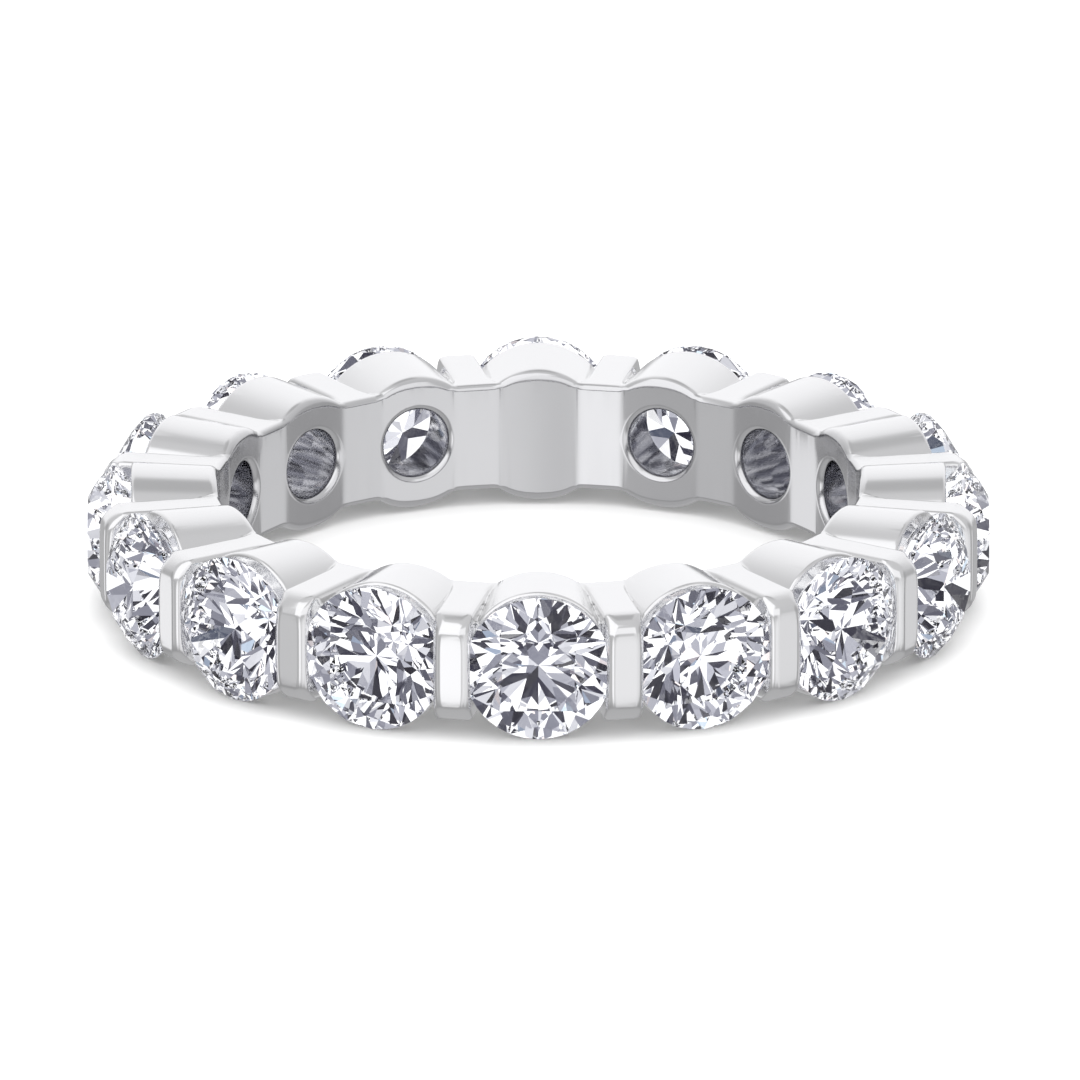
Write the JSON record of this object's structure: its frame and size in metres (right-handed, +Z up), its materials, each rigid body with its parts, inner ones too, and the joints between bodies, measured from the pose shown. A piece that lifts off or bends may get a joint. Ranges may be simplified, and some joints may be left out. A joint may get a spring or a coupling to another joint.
{
  "type": "bar set band",
  "caption": "Eternity ring lying on its side: round brilliants in tapered open-back collars, gripped at their girdles between upright polished metal bars.",
  "frame": {"origin": "on the ring's axis, in the plane of the surface that the ring lies on", "axes": "+Z up along the ring's axis; -Y out through the middle of the front stone; +Y towards the solid pad at the back"},
  "size_m": [0.024, 0.024, 0.0039],
  "materials": {
    "metal": "mirror-polished white gold",
    "stone": "clear colourless diamond with polished facets"
  },
  "bodies": {
    "root": {"band": "metal", "stone_01": "stone", "stone_02": "stone", "stone_03": "stone", "stone_04": "stone", "stone_05": "stone", "stone_06": "stone", "stone_07": "stone", "stone_08": "stone", "stone_09": "stone", "stone_10": "stone", "stone_11": "stone", "stone_12": "stone", "stone_13": "stone", "stone_14": "stone", "stone_15": "stone", "stone_16": "stone"}
  },
  "joints": []
}
